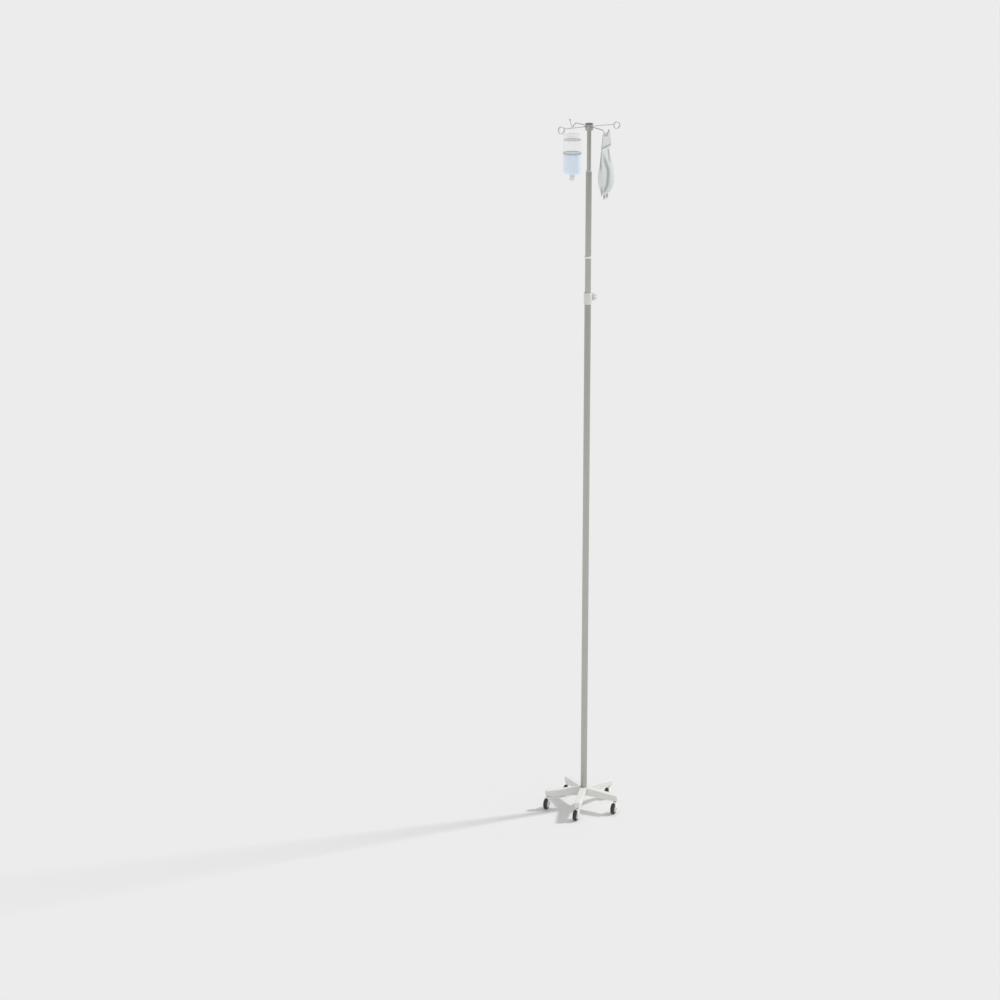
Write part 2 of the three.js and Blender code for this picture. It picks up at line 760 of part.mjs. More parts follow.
// ---- Soft bag: a flat flap with the hanging hole over a filled pouch ----

const filmReach = bagFilm / 2 / Math.cos(degrees(bagTurn)) + armRadius * Math.tan(degrees(bagTurn));
const bagHoleTop = seatTop + wireClimb(filmReach + armRadius / 2);
const bagTop = bagHoleTop + bagAboveHole;
const bagBottom = bagTop - bagLength;

// Half width and half thickness of the bag at a drop below its top edge.
function bagSection(drop) {
  const fullness = THREE.MathUtils.clamp((drop - bagFlapLength) / (bagLength - bagFlapLength), 0, 1);
  const belly = Math.sin(Math.PI * fullness ** 1.6) ** 0.65;
  const thickness = bagFilm + (bagThickness - bagFilm) * belly;
  const { lerp, smoothstep } = THREE.MathUtils;
  const upper = lerp(bagTopWidth, bagFlapWidth, smoothstep(drop, 0, bagFlapLength));
  const middle = lerp(upper, bagFullWidth, smoothstep(drop, bagFlapLength, bagFullDrop));
  const closing = Math.sqrt(1 - smoothstep(drop, bagFullDrop, bagLength) ** 1.5);
  const width = drop > bagFullDrop ? lerp(bagBottomWidth, middle, closing) : middle;
  return [width / 2, thickness / 2];
}

function bagBody() {
  const drops = [0, bagFlapLength * 0.5, bagFlapLength * 0.95];
  const bands = 8;
  for (let band = 1; band <= bands; band += 1) {
    drops.push(bagFlapLength + ((bagLength - bagFlapLength) * band) / bands);
  }
  const around = 20;
  const rings = drops.reverse().map((drop) => {
    const [half, thick] = bagSection(drop);
    return Array.from({ length: around }, (_, i) => {
      const angle = (i / around) * 2 * Math.PI;
      return new THREE.Vector3(half * Math.cos(angle), thick * Math.sin(angle), bagTop - drop);
    });
  });
  const hole = disc(bagHoleRadius, -bagThickness, bagThickness, 2 * smallSides).rotateX(Math.PI / 2)
    .translate(0, 0, bagHoleTop - bagHoleRadius);
  return cutBy(lofted(rings), hole);
}

const bag = addStation(stand, 270, seatRadius);
bag.rotation.z = degrees(bagTurn);
addPiece(bag, 'bag_pouch', bagBody(), bagPlastic);
for (const [side, label] of [[-1, 'left'], [1, 'right']]) {
  const portTop = bagBottom - clearance;
  const capTop = portTop - bagPortLength - clearance;
  const x = (side * bagPortSpacing) / 2;
  const port = addPiece(bag, `bag_port_${label}`, disc(bagPortRadius, portTop - bagPortLength, portTop,
    smallSides), bagPlastic);
  const cap = addPiece(bag, `bag_cap_${label}`, disc(bagCapRadius, capTop - bagCapLength, capTop,
    smallSides), whitePlastic);
  port.position.x = x;
  cap.position.x = x;
}

export default stand;
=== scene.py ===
# %% [markdown]
# # An infusion stand with a bottle and a soft bag
# The stand is a star base on five castors, three telescoping tubes, a clamp collar with a star knob,
# and a head with two ring arms and two hook arms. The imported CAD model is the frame: it is loaded
# first, and each visible piece is then either given a finish or replaced by a finer piece that stands
# in the same place and moves with the same body.

# %% Load the frame
import json
import math

import bpy
from mathutils import Matrix, Vector

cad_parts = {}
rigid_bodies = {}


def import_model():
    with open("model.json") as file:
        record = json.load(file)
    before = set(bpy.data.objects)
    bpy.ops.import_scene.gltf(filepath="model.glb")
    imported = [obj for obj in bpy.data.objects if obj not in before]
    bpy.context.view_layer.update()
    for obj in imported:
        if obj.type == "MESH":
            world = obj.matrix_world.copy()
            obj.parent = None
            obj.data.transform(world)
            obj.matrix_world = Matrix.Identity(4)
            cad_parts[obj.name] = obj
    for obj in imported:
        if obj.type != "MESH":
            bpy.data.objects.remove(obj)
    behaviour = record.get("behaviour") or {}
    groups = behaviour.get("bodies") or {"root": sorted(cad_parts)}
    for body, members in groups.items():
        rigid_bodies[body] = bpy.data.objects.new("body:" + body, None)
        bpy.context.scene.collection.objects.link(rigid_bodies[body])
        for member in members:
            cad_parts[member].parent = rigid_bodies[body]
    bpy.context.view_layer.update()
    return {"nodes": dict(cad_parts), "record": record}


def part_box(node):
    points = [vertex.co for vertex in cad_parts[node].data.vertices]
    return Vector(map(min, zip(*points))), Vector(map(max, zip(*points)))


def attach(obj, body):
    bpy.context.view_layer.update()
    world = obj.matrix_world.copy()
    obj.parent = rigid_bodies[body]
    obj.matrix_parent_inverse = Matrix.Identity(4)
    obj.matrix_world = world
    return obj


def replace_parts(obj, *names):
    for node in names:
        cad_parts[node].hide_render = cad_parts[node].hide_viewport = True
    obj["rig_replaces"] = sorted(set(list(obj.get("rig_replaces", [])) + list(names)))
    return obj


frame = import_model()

MM = 0.001
scene = bpy.context.scene

# %% [markdown]
# ## Camera, floor and light
# A product picture like this is taken from well back with a long lens, a little above the object and
# looking slightly down, so upright lines stay nearly parallel. The floor runs far past the object and
# fills the whole view, and one wide sun from the right and behind gives a soft shadow to the left.

# %% Camera
VIEW_TURN = math.radians(-29.3)
VIEW_PITCH = math.radians(16.3)
VIEW_FROM = (-4.6144, -7.6757, 3.640)
LONG_LENS = 108
camera_data = bpy.data.cameras.new("studio_camera")
camera_data.sensor_width = 36
camera_data.lens = LONG_LENS
camera_data.clip_end = 400
camera = bpy.data.objects.new("studio_camera", camera_data)
scene.collection.objects.link(camera)
camera.location = VIEW_FROM
camera.rotation_euler = (math.radians(90) - VIEW_PITCH, 0, VIEW_TURN)
scene.camera = camera
print("camera at", VIEW_FROM)


# %% Colour and node helpers
def linear(hex_colour):
    """An sRGB hex colour as linear red, green, blue and a full alpha."""
    values = [int(hex_colour[i:i + 2], 16) / 255 for i in (1, 3, 5)]
    return [v / 12.92 if v <= 0.04045 else ((v + 0.055) / 1.055) ** 2.4 for v in values] + [1.0]


def add_node(tree, kind, settings=None, inputs=None):
    """A new node with its settings, and each input set to a value or linked to a socket."""
    node = tree.nodes.new(kind)
    for name, value in (settings or {}).items():
        setattr(node, name, value)
    for name, value in (inputs or {}).items():
        if isinstance(value, bpy.types.NodeSocket):
            tree.links.new(value, node.inputs[name])
        else:
            node.inputs[name].default_value = value
    return node


def arithmetic(tree, operation, *values):
    """The result of a math node whose inputs are numbers or sockets."""
    node = add_node(tree, "ShaderNodeMath", {"operation": operation})
    for slot, value in zip(node.inputs, values):
        if isinstance(value, bpy.types.NodeSocket):
            tree.links.new(value, slot)
        else:
            slot.default_value = value
    return node.outputs["Value"]


def new_finish(name):
    """A new node material, its tree and its Principled shader."""
    material = bpy.data.materials.new(name)
    material.use_nodes = True
    shader = material.node_tree.nodes["Principled BSDF"]
    return material, material.node_tree, shader


print("colour and node helpers are ready")


# %% Floor and light
SKY_LEVEL = 0.62
SUN_LEVEL = 1.78
SUN_TURN = math.radians(-7.6)
SUN_HEIGHT = math.radians(42)
SUN_SOFTNESS = math.radians(7)
FLOOR_HALF = 120
FLOOR_HEIGHT = -0.0002

bpy.ops.mesh.primitive_plane_add(size=2 * FLOOR_HALF, location=(0, 0, FLOOR_HEIGHT))
floor = bpy.context.object
floor.name = "studio_floor"
matt_card, _, card_shader = new_finish("matt_card")
card_shader.inputs["Base Color"].default_value = linear("#ECECEC")
card_shader.inputs["Roughness"].default_value = 1.0
card_shader.inputs["Specular IOR Level"].default_value = 0.0
floor.data.materials.append(matt_card)

world = bpy.data.worlds.new("studio_sky")
world.use_nodes = True
world.node_tree.nodes["Background"].inputs["Color"].default_value = (1, 1, 1, 1)
world.node_tree.nodes["Background"].inputs["Strength"].default_value = SKY_LEVEL
scene.world = world

sun_data = bpy.data.lights.new("soft_sun", "SUN")
sun_data.energy = SUN_LEVEL
sun_data.angle = SUN_SOFTNESS
sun = bpy.data.objects.new("soft_sun", sun_data)
scene.collection.objects.link(sun)
to_sun = Vector((math.cos(SUN_TURN) * math.cos(SUN_HEIGHT), math.sin(SUN_TURN) * math.cos(SUN_HEIGHT),
                 math.sin(SUN_HEIGHT)))
sun.rotation_euler = to_sun.to_track_quat("Z", "Y").to_euler()
scene.view_settings.view_transform = "Standard"
print("sun from", tuple(round(v, 2) for v in to_sun))

# %% [markdown]
# ## Finishes
# Every finish is procedural. Most share one recipe: a fine grain that lifts the surface by a few
# hundredths of a millimetre, and a slow mottle that moves the colour and the gloss a little, as
# handling and moulding do. All of it reads Object coordinates, which are real metres here.


# %% Shared recipe for a grained finish
def grained(name, colour, rough, grain_mm, lift_mm, mottle=0.04, metallic=0.0, stretch=(1, 1, 1)):
    """A finish with fine grain in its surface and a slow mottle in its colour and gloss."""
    material, tree, shader = new_finish(name)
    place = add_node(tree, "ShaderNodeTexCoord").outputs["Object"]
    spread = add_node(tree, "ShaderNodeMapping", inputs={"Vector": place, "Scale": stretch})
    grain = add_node(tree, "ShaderNodeTexNoise", inputs={
        "Vector": spread.outputs["Vector"], "Scale": 1 / (grain_mm * MM), "Detail": 3.0})
    slow = add_node(tree, "ShaderNodeTexNoise", inputs={"Vector": place, "Scale": 55.0, "Detail": 2.0})
    lift = add_node(tree, "ShaderNodeBump", inputs={
        "Height": grain.outputs["Fac"], "Distance": lift_mm * MM, "Strength": 0.5})
    light, dark = linear(colour), [c * (1 - 2 * mottle) for c in linear(colour)[:3]] + [1.0]
    tint = add_node(tree, "ShaderNodeMix", {"data_type": "RGBA"}, {"Factor": slow.outputs["Fac"]})
    tint.inputs["A"].default_value = light
    tint.inputs["B"].default_value = dark
    gloss = add_node(tree, "ShaderNodeMapRange", inputs={
        "Value": slow.outputs["Fac"], "To Min": rough - 0.06, "To Max": rough + 0.06})
    tree.links.new(tint.outputs["Result"], shader.inputs["Base Color"])
    tree.links.new(gloss.outputs["Result"], shader.inputs["Roughness"])
    tree.links.new(lift.outputs["Normal"], shader.inputs["Normal"])
    shader.inputs["Metallic"].default_value = metallic
    return material, tree, shader


# %% Opaque finishes
# Powder coat: a bright white with a faint orange peel that breaks up the sun's highlight.
powder_coat, _, _ = grained("powder_coat_white", "#EDEEEA", 0.48, 1.1, 0.03, mottle=0.012)
# Satin-ground stainless tube: fine rings left by the grinding belt, which blur reflections sideways.
satin_stainless, _, _ = grained("satin_ground_stainless", "#BDBCB7", 0.36, 9.0, 0.012, mottle=0.03,
                                metallic=1.0, stretch=(1, 1, 60))
# Bright-drawn stainless wire: nearly polished, with faint lengthwise wear.
bright_stainless, _, _ = grained("bright_drawn_stainless", "#CBCAC6", 0.5, 0.8, 0.008, mottle=0.03,
                                 metallic=1.0)
# Cast and turned steel of the head: the same metal as the tubes, with a finer, matter surface.
turned_steel, _, _ = grained("turned_stainless_head", "#BBB9B5", 0.42, 2.5, 0.012, mottle=0.03,
                             metallic=1.0, stretch=(1, 1, 30))
# Moulded nylon: off-white, softly shiny, with the faint grain of a spark-eroded mould.
moulded_nylon, _, _ = grained("moulded_nylon_white", "#F5F6F2", 0.45, 0.6, 0.02, mottle=0.02)
# Moulded ABS: light grey with an even satin grain.
moulded_abs, _, _ = grained("moulded_abs_grey", "#E7E8E3", 0.5, 0.5, 0.03, mottle=0.02)
# Tread rubber: dark grey, dull, dusty in patches from the floor.
tread_rubber, _, _ = grained("tread_rubber_grey", "#474743", 0.78, 0.9, 0.06, mottle=0.14)
# Dark end cap: a dark grey moulding with a dull, brushed look.
dark_moulding, _, _ = grained("dark_cap_moulding", "#757371", 0.5, 0.5, 0.03, mottle=0.05)
print("opaque finishes:", len(bpy.data.materials) - 1)


# %% Helpers for see-through finishes
def see_through(name, colour, rough, alpha, grain_mm, lift_mm, mottle):
    """A grained finish that lets part of the light straight through."""
    material, tree, shader = grained(name, colour, rough, grain_mm, lift_mm, mottle)
    shader.inputs["Alpha"].default_value = alpha
    return material, tree, shader


def height_of(tree):
    """The height in metres of the point being shaded."""
    place = add_node(tree, "ShaderNodeTexCoord").outputs["Object"]
    return add_node(tree, "ShaderNodeSeparateXYZ", inputs={"Vector": place}).outputs["Z"]


def band(tree, height, centre, half_width):
    """1 at a height and 0 beyond half a width from it, all in metres."""
    distance = arithmetic(tree, "ABSOLUTE", arithmetic(tree, "SUBTRACT", height, centre))
    return add_node(tree, "ShaderNodeMapRange", {"interpolation_type": "SMOOTHSTEP"}, {
        "Value": distance, "From Min": half_width, "From Max": 0.0}).outputs["Result"]


def tinted(tree, shader, share, colour):
    """Mix a second colour into a finish by a share from 0 to 1."""
    mix = add_node(tree, "ShaderNodeMix", {"data_type": "RGBA"}, {"Factor": share})
    tree.links.new(shader.inputs["Base Color"].links[0].from_socket, mix.inputs["A"])
    mix.inputs["B"].default_value = linear(colour)
    tree.links.new(mix.outputs["Result"], shader.inputs["Base Color"])


# %% Bottle finishes
# Blown polypropylene: a nearly clear shell that gathers a little white along its thick rim.
CLEAR_WALL, RIM_GAIN, SHADE_BAND_GAIN, OUTLINE_GAIN = 0.05, 0.2, 0.4, 0.3
blown_plastic, blown_tree, blown_shader = see_through(
    "blown_polypropylene", "#F4F5F4", 0.14, CLEAR_WALL, 14.0, 0.25, 0.02)
bottle_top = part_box("bottle_shell")[1].z
liquid_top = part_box("bottle_liquid")[1].z
shell_height = height_of(blown_tree)
rim_band = band(blown_tree, shell_height, bottle_top - 3 * MM, 5 * MM)
# Two grey rings of painted shade: at the edge of the recess, and on the wall just above the liquid.
recess_painted_shade = band(blown_tree, shell_height, bottle_top - 17.4 * MM, 1.6 * MM)
wall_line_painted_shade = band(blown_tree, shell_height, liquid_top + 2.2 * MM, 2.8 * MM)
painted_shade_bands = arithmetic(blown_tree, "ADD", recess_painted_shade, wall_line_painted_shade)
# Painted shade: both rings tint the shell dark grey and make it more opaque.
tinted(blown_tree, blown_shader, painted_shade_bands, "#77746C")
# Seen along the wall the plastic is many times thicker, so the shell's outline shows more than its front.
grazing = add_node(blown_tree, "ShaderNodeLayerWeight", inputs={"Blend": 0.3})
outline = arithmetic(blown_tree, "POWER", grazing.outputs["Facing"], 3.0)
shell_alpha = arithmetic(blown_tree, "MULTIPLY_ADD", rim_band, RIM_GAIN, CLEAR_WALL)
shell_alpha = arithmetic(blown_tree, "MULTIPLY_ADD", painted_shade_bands, SHADE_BAND_GAIN, shell_alpha)
shell_alpha = arithmetic(blown_tree, "MULTIPLY_ADD", outline, OUTLINE_GAIN, shell_alpha)
blown_tree.links.new(shell_alpha, blown_shader.inputs["Alpha"])

# Clear moulding: the hanger and the port, a little milkier than the shell.
clear_moulding, _, _ = see_through("clear_moulded_plastic", "#F4F6F6", 0.2, 0.2, 3.0, 0.05, 0.02)

# Stopper rubber: pale and cloudy in the neck, violet-blue where its end meets the liquid.
stopper_rubber, stopper_tree, stopper_shader = see_through(
    "stopper_rubber_violet", "#ECEDF4", 0.5, 0.32, 0.7, 0.03, 0.04)
stopper_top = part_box("bottle_stopper")[1].z
violet_band = band(stopper_tree, height_of(stopper_tree), stopper_top, 4 * MM)
tinted(stopper_tree, stopper_shader, violet_band, "#A4A8D2")

# Pale blue liquid: a grey-green line of painted shade where its surface meets the wall, and a faint blue
# glow painted in as emission, in place of light that scatters inside it and comes back out.
pale_liquid, liquid_tree, liquid_shader = see_through(
    "pale_blue_liquid", "#DCE8F7", 0.08, 0.5, 20.0, 0.1, 0.01)
surface_painted_shade = band(liquid_tree, height_of(liquid_tree), liquid_top - 0.6 * MM, 2.4 * MM)
tinted(liquid_tree, liquid_shader, surface_painted_shade, "#7F8B88")
# Painted light: an emission makes the liquid glow faintly blue, though it is no lamp.
liquid_shader.inputs["Emission Color"].default_value = linear("#C6DAF2")
liquid_shader.inputs["Emission Strength"].default_value = 0.17
print("bottle top and liquid top in metres:", round(bottle_top, 4), round(liquid_top, 4))

# %% Bag finishes
# Port tubing: thick soft film, cloudy and smooth.
port_tubing, _, _ = see_through("soft_port_tubing", "#C6CECB", 0.25, 0.85, 2.0, 0.05, 0.03)
# Bag film over liquid: pale grey-green, glossy and slightly crinkled, and darkened by painted shade in folds.
bag_film, film_tree, film_shader = see_through("bag_film_filled", "#EEF2F0", 0.22, 0.93, 5.0, 0.12, 0.02)
# An attribute tints the film dark grey-green: painted shade in folds, pleats, seams and front flank, and the
# seal and flap.
seal_flap_and_painted_shade_node = add_node(film_tree, "ShaderNodeAttribute", {"attribute_name": "seal_flap_and_painted_shade"})
tinted(film_tree, film_shader, seal_flap_and_painted_shade_node.outputs["Fac"], "#5F6C66")
print("all finishes:", len(bpy.data.materials))

# %% [markdown]
# ## Modelling helpers
# A round piece starts as a ring of vertices that is extruded from one profile point to the next, the
# way a turned part is drawn. Cuts and joins are booleans, edges are rounded with an applied bevel, and
# a finished piece is placed inside its own mesh, so its object stays at the origin.


# %% Modelling helpers
def use_only(piece):
    """Make one object the only selected and active one."""
    for other in bpy.context.selected_objects:
        other.select_set(False)
    piece.select_set(True)
    bpy.context.view_layer.objects.active = piece


def apply_modifier(piece, kind, **settings):
    """Add a modifier with its settings and apply it to the mesh."""
    use_only(piece)
    modifier = piece.modifiers.new(kind.lower(), kind)
    for name, value in settings.items():
        setattr(modifier, name, value)
    bpy.ops.object.modifier_apply(modifier=modifier.name)


def rounded(piece, width_mm, segments=2, angle=32):
    """Round every edge sharper than the angle."""
    apply_modifier(piece, "BEVEL", width=width_mm * MM, segments=segments, limit_method="ANGLE",
                   angle_limit=math.radians(angle), use_clamp_overlap=True)
    return piece


def combined(piece, other, operation="UNION"):
    """Join or cut a piece with another one, which is used up."""
    apply_modifier(piece, "BOOLEAN", object=other, operation=operation, solver="EXACT")
    bpy.data.objects.remove(other)
    return piece


def tidied(piece):
    """Merge doubled points, turn faces outwards and smooth the shading across soft edges."""
    use_only(piece)
    bpy.ops.object.mode_set(mode="EDIT")
    bpy.ops.mesh.select_all(action="SELECT")
    bpy.ops.mesh.remove_doubles(threshold=0.002 * MM)
    bpy.ops.mesh.normals_make_consistent(inside=False)
    bpy.ops.object.mode_set(mode="OBJECT")
    bpy.ops.object.shade_smooth_by_angle(angle=math.radians(34))
    return piece


def turned(name, profile, sides=96):
    """A piece turned about Z from [radius, height] points in mm; a repeated first point closes a ring."""
    hollow = list(profile[0]) == list(profile[-1])
    steps = profile[:-1] if hollow else profile
    radius, height = steps[0]
    bpy.ops.mesh.primitive_circle_add(vertices=sides, radius=radius * MM, fill_type="NOTHING",
                                      location=(0, 0, 0))
    piece = bpy.context.object
    piece.name = name
    bpy.ops.object.mode_set(mode="EDIT")
    bpy.ops.mesh.select_mode(type="EDGE")
    bpy.ops.mesh.select_all(action="SELECT")
    bpy.ops.transform.translate(value=(0, 0, height * MM))
    for next_radius, next_height in steps[1:]:
        bpy.ops.mesh.extrude_edges_indiv()
        bpy.ops.transform.translate(value=(0, 0, (next_height - height) * MM))
        scale = next_radius / radius
        bpy.ops.transform.resize(value=(scale, scale, 1), center_override=(0, 0, 0))
        radius, height = next_radius, next_height
    bpy.ops.mesh.select_all(action="DESELECT")
    bpy.ops.mesh.select_non_manifold()
    if hollow:
        bpy.ops.mesh.bridge_edge_loops()
    else:
        bpy.ops.mesh.fill_holes(sides=0)
    bpy.ops.mesh.select_all(action="SELECT")
    bpy.ops.mesh.normals_make_consistent(inside=False)
    bpy.ops.object.mode_set(mode="OBJECT")
    return piece


def tube(name, inner, outer, bottom, top, sides=96):
    """A hollow sleeve between two radii, in mm."""
    profile = [(outer, bottom), (outer, top), (inner, top), (inner, bottom), (outer, bottom)]
    return turned(name, profile, sides)


def rod(name, radius, bottom, top, sides=64):
    """A plain round bar about Z, in mm."""
    return turned(name, [(radius, bottom), (radius, top)], sides)


def block(name, low, high):
    """A rectangular block between two corners in mm."""
    middle = [(a + b) / 2 * MM for a, b in zip(low, high)]
    size = [(b - a) * MM for a, b in zip(low, high)]
    bpy.ops.mesh.primitive_cube_add(size=1, location=middle, scale=size)
    piece = bpy.context.object
    piece.name = name
    bpy.ops.object.transform_apply(location=True, rotation=True, scale=True)
    return piece


def pick(piece, test):
    """In edit mode, select only the points for which the test is true."""
    use_only(piece)
    bpy.ops.object.mode_set(mode="EDIT")
    bpy.ops.mesh.select_mode(type="VERT")
    bpy.ops.mesh.select_all(action="DESELECT")
    bpy.ops.object.mode_set(mode="OBJECT")
    for vertex in piece.data.vertices:
        vertex.select = test(vertex.co)
    bpy.ops.object.mode_set(mode="EDIT")


def reshape(piece, test, scale=(1, 1, 1), about=(0, 0, 0), shift=(0, 0, 0)):
    """Scale the picked points about a place and then shift them, in mm."""
    pick(piece, test)
    bpy.ops.transform.resize(value=scale, center_override=[v * MM for v in about])
    bpy.ops.transform.translate(value=[v * MM for v in shift])
    bpy.ops.object.mode_set(mode="OBJECT")
    return piece


def along(axis, distance=(0, 0, 0)):
    """The matrix that lays a Z-turned piece along X or -Y and then moves it, in mm."""
    turn = Matrix.Rotation(math.pi / 2, 4, axis)
    return Matrix.Translation(Vector(distance) * MM) @ turn


def placed(piece, matrix):
    """Put the piece in place inside its own mesh."""
    piece.data.transform(matrix)
    piece.data.update()
    return piece


def finished(piece, material, body, slot, *nodes):
    """Give the piece its finish and its body, and let it stand for its CAD nodes."""
    tidied(piece)
    piece.data.materials.clear()
    piece.data.materials.append(material)
    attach(piece, body)
    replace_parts(piece, *nodes)
    print(piece.name, len(piece.data.polygons), "faces, for", ", ".join(nodes))
    return piece


def mm_box(node):
    """A CAD node's lowest and highest corners in mm."""
    low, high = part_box(node)
    return low / MM, high / MM


print("modelling helpers are ready")

# %% [markdown]
# ## Star base
# One leg is a block that is extruded outwards, then narrowed and thinned at its tip. Its long edges are
# rounded before five copies are joined to the hub, so the roundings stay clean where the legs meet. The
# sockets for the pole, the bolt and the castor stems are cut last.

# %% Star base
CLEAR = 0.3
base_low, base_high = mm_box("star_base")
LEG_BOTTOM, BASE_TOP = base_low.z, base_high.z
ROOT_DEPTH, TIP_DEPTH, SOCKET_RISE, STEM_DEPTH = 25, 18, 6, 11
HUB_BOTTOM, LEG_TOP = BASE_TOP - ROOT_DEPTH, LEG_BOTTOM + TIP_DEPTH
HUB_RADIUS, LEG_END, LEG_ROOT, LEG_TIP = 19, 123, 11, 8
POLE_SOCKET, BOLT_HOLE, STEM_HOLE = 10.3, 3.3, 4.3
FIRST_LEG, SWIVEL_RADIUS, LEGS = 13.5, 114, 5
HUB_NARROWING = 0.958


def leg_angle(number):
    """The direction of a leg, counted from 0."""
    return math.radians(FIRST_LEG + 360 / LEGS * number)


leg = block("leg", (0, -LEG_ROOT, HUB_BOTTOM), (HUB_RADIUS, LEG_ROOT, BASE_TOP))
pick(leg, lambda co: co.x > (HUB_RADIUS - 1) * MM)
bpy.ops.mesh.extrude_region_move(TRANSFORM_OT_translate={"value": ((LEG_END - HUB_RADIUS) * MM, 0, 0)})
bpy.ops.object.mode_set(mode="OBJECT")
reshape(leg, lambda co: co.x > (LEG_END - 1) * MM, scale=(1, LEG_TIP / LEG_ROOT, TIP_DEPTH / ROOT_DEPTH),
        about=(LEG_END, 0, BASE_TOP), shift=(0, 0, LEG_TOP - BASE_TOP))
reshape(leg, lambda co: abs(co.x - HUB_RADIUS * MM) < MM, scale=(1, HUB_NARROWING, 1))
tidied(leg)
rounded(leg, 1.7, segments=4)

star_base = rod("base_casting", HUB_RADIUS, HUB_BOTTOM, BASE_TOP, 80)
rounded(star_base, 1.5, segments=3)
for number in range(LEGS):
    copy = leg.copy()
    copy.data = leg.data.copy()
    scene.collection.objects.link(copy)
    placed(copy, Matrix.Rotation(leg_angle(number), 4, "Z"))
    combined(star_base, copy)
bpy.data.objects.remove(leg)
socket_floor = HUB_BOTTOM + SOCKET_RISE
combined(star_base, rod("pole_socket", POLE_SOCKET, socket_floor, BASE_TOP + 3), "DIFFERENCE")
combined(star_base, rod("bolt_hole", BOLT_HOLE, HUB_BOTTOM - 3, socket_floor + 1), "DIFFERENCE")
for number in range(LEGS):
    hole = rod("stem_hole", STEM_HOLE, LEG_BOTTOM - 2, LEG_BOTTOM + STEM_DEPTH)
    angle = leg_angle(number)
    placed(hole, Matrix.Translation((SWIVEL_RADIUS * MM * math.cos(angle),
                                     SWIVEL_RADIUS * MM * math.sin(angle), 0)))
    combined(star_base, hole, "DIFFERENCE")
finished(star_base, powder_coat, "base", "white_paint", "star_base")

# %% [markdown]
# ## Castors
# One castor is made at the origin with its wheel trailing along +X and its single arm towards +Y. The
# arm is a tapered plate with a round foot under a wedge-shaped crown. The tyre has a crowned tread with
# two shallow grooves, and the wheel is dished between a boss and a rim. Five copies are then placed.

# %% Castor arm
TRAIL, TRAIL_ANGLE, SHIFT, WHEEL_WIDTH, ARM_WALL = 6.5, 221, 4, 12.8, 2.8
FOOT_RADIUS, CROWN_RADIUS, CROWN_DEPTH, CROWN_FLOOR, TOP_WIDTH = 8.5, 7.2, 5.5, 1.2, 15
PIN_HOLE, AXLE_HOLE = 3.5, 2.3
tyre_low, tyre_high = mm_box("castor_1_tyre")
AXLE_HEIGHT = (tyre_low.z + tyre_high.z) / 2
CROWN_TOP = mm_box("castor_1_fork")[1].z
CROWN_BOTTOM = CROWN_TOP - CROWN_DEPTH
ARM_NEAR = WHEEL_WIDTH / 2 + CLEAR - SHIFT
ARM_FAR = ARM_NEAR + ARM_WALL
CROWN_END = TRAIL + FOOT_RADIUS / 2
wheel_place = along("X", (TRAIL, -SHIFT, AXLE_HEIGHT))

arm = block("castor_arm", (TRAIL - FOOT_RADIUS, ARM_NEAR, AXLE_HEIGHT),
            (TRAIL + FOOT_RADIUS, ARM_FAR, CROWN_TOP - 1))
reshape(arm, lambda co: co.z > CROWN_BOTTOM * MM, scale=(TOP_WIDTH / (2 * FOOT_RADIUS), 1, 1),
        about=(TRAIL, 0, 0), shift=(-TRAIL / 2, 0, 0))
foot = rod("arm_foot", FOOT_RADIUS, 0, ARM_WALL, 64)
placed(foot, along("X", (TRAIL, ARM_FAR, AXLE_HEIGHT)))
combined(arm, foot)
crown = rod("crown", CROWN_RADIUS, CROWN_BOTTOM, CROWN_TOP, 64)
wedge = block("wedge", (0, -CROWN_RADIUS, CROWN_BOTTOM), (CROWN_END, CROWN_RADIUS, CROWN_TOP))
reshape(wedge, lambda co: co.x > MM and co.y < 0, shift=(0, CROWN_RADIUS, 0))
reshape(wedge, lambda co: co.x > MM and co.y > 2 * MM, shift=(0, ARM_FAR - CROWN_RADIUS, 0))
combined(crown, wedge)
combined(arm, crown)
tidied(arm)
rounded(arm, 0.7, segments=3, angle=40)
combined(arm, rod("pin_hole", PIN_HOLE, CROWN_BOTTOM + CROWN_FLOOR, CROWN_TOP + 2, 40), "DIFFERENCE")
combined(arm, placed(rod("axle_hole", AXLE_HOLE, -10, 0, 40), wheel_place), "DIFFERENCE")
print("castor arm:", len(arm.data.polygons), "faces")

# %% Castor axle, wheel and tyre
half = WHEEL_WIDTH / 2
arm_end, free_end = -(half + CLEAR + ARM_WALL) - CLEAR, half + CLEAR
axle = turned("castor_axle", [
    (1.6, arm_end - 1.2), (3.0, arm_end - 0.9), (3.6, arm_end - 0.3), (3.6, arm_end), (2, arm_end),
    (2, free_end), (3.6, free_end), (3.6, free_end + 0.3), (3.0, free_end + 0.9), (1.6, free_end + 1.2)], 40)
placed(axle, wheel_place)

wheel = turned("castor_wheel", [
    (AXLE_HOLE, -half), (5, -half), (5, -half + 1.8), (9.6, -half + 1.6), (10.6, -half + 0.6),
    (11.7, -half + 0.6), (11.7, half - 0.6), (10.6, half - 0.6), (9.6, half - 1.6), (5, half - 1.8),
    (5, half), (AXLE_HOLE, half), (AXLE_HOLE, -half)], 64)
rounded(wheel, 0.3, segments=2, angle=40)
placed(wheel, wheel_place)

# The tread's radius is the axle's height, so every tyre just stands on the floor.
TREAD, GROOVE = 16.67, 16.3
face = half - 0.4
tyre = turned("castor_tyre", [
    (12, -face), (15.2, -face), (16.1, -face + 0.5), (16.5, -face + 1.6), (TREAD, -2.6), (GROOVE, -2.4),
    (GROOVE, -2.0), (TREAD, -1.8), (TREAD, 1.8), (GROOVE, 2.0), (GROOVE, 2.4), (TREAD, 2.6),
    (16.5, face - 1.6), (16.1, face - 0.5), (15.2, face), (12, face), (12, -face)], 96)
rounded(tyre, 0.25, segments=2, angle=30)
placed(tyre, wheel_place)
print("axle, wheel and tyre:", [len(piece.data.polygons) for piece in (axle, wheel, tyre)], "faces")

